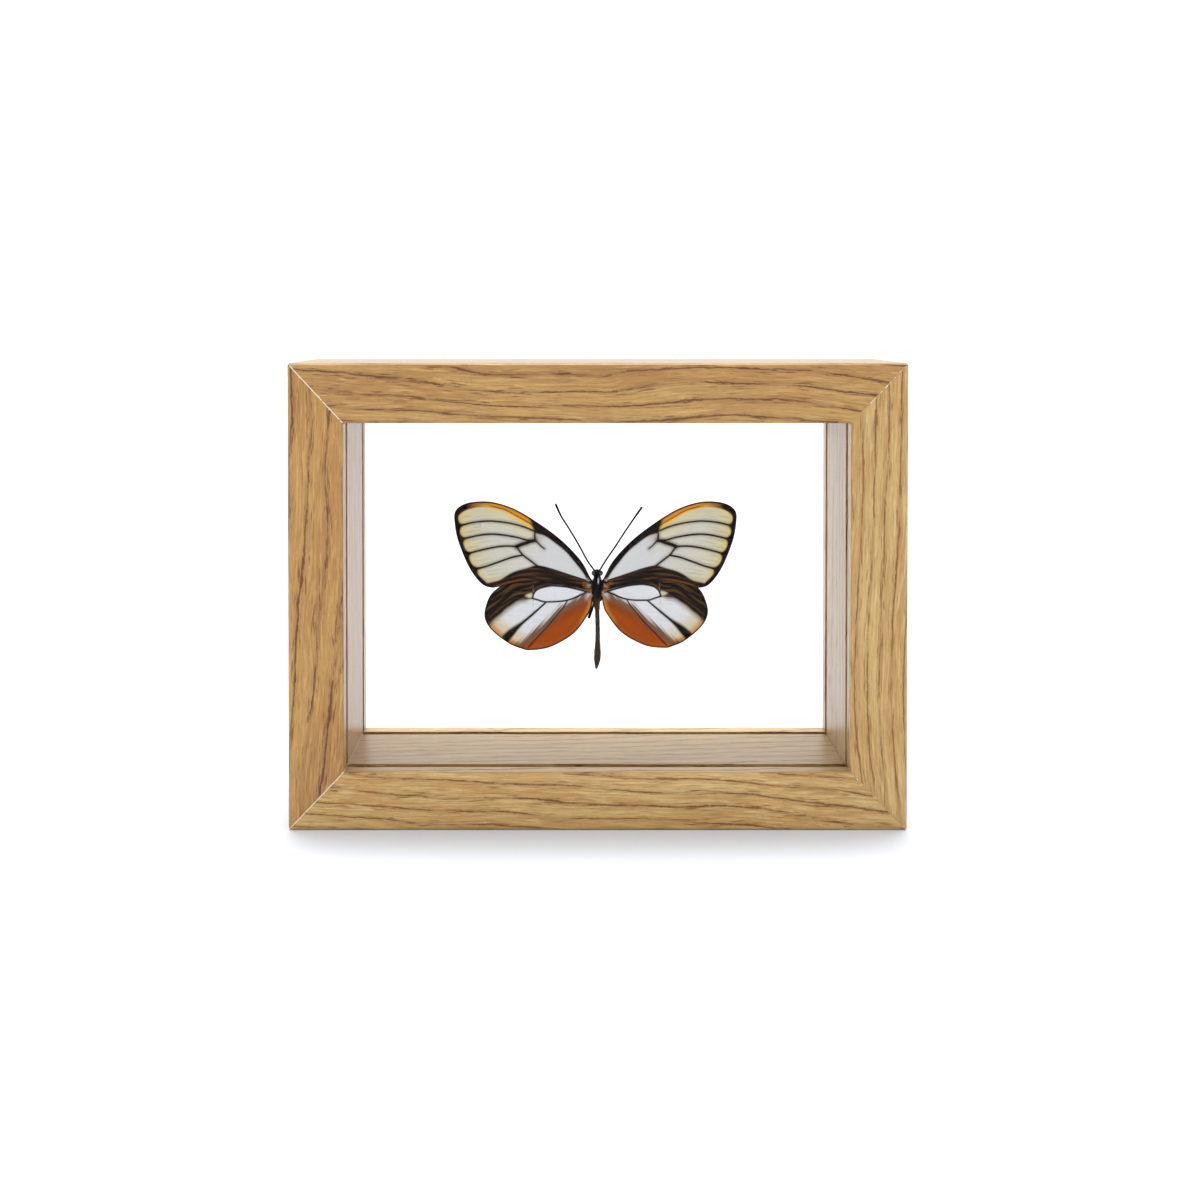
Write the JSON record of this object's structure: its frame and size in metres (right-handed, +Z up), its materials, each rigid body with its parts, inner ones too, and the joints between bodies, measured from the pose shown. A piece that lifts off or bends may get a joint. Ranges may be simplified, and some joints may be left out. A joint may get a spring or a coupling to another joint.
{
  "type": "framed butterfly specimen",
  "caption": "Spread butterfly held between clear panes in a deep mitred oak box frame that stands on its lower rail.",
  "frame": {"origin": "middle of the frame's footprint, on the surface that the lower rail stands on", "axes": "+X to the right along the frame's width, +Y from the front face to the back, +Z up"},
  "size_m": [0.14, 0.04, 0.1057],
  "materials": {
    "oak": "fine sanded oak with a thin matt oil, grain along each rail",
    "pane": "clear float glass",
    "insect_body": "dark chitin with a low gloss and fine hair",
    "wing": "dry wing scales: pale, dark brown and orange areas between dark veins",
    "antenna": "dark chitin, low gloss",
    "glue": "clear hardened glue"
  },
  "bodies": {
    "root": {"rail_top": "oak", "rail_bottom": "oak", "rail_left": "oak", "rail_right": "oak", "glass_front": "pane", "glass_rear": "pane", "body": "insect_body", "forewing_left": "wing", "forewing_right": "wing", "hindwing_left": "wing", "hindwing_right": "wing", "antenna_left": "antenna", "antenna_right": "antenna", "glue_dab": "glue"}
  },
  "joints": []
}
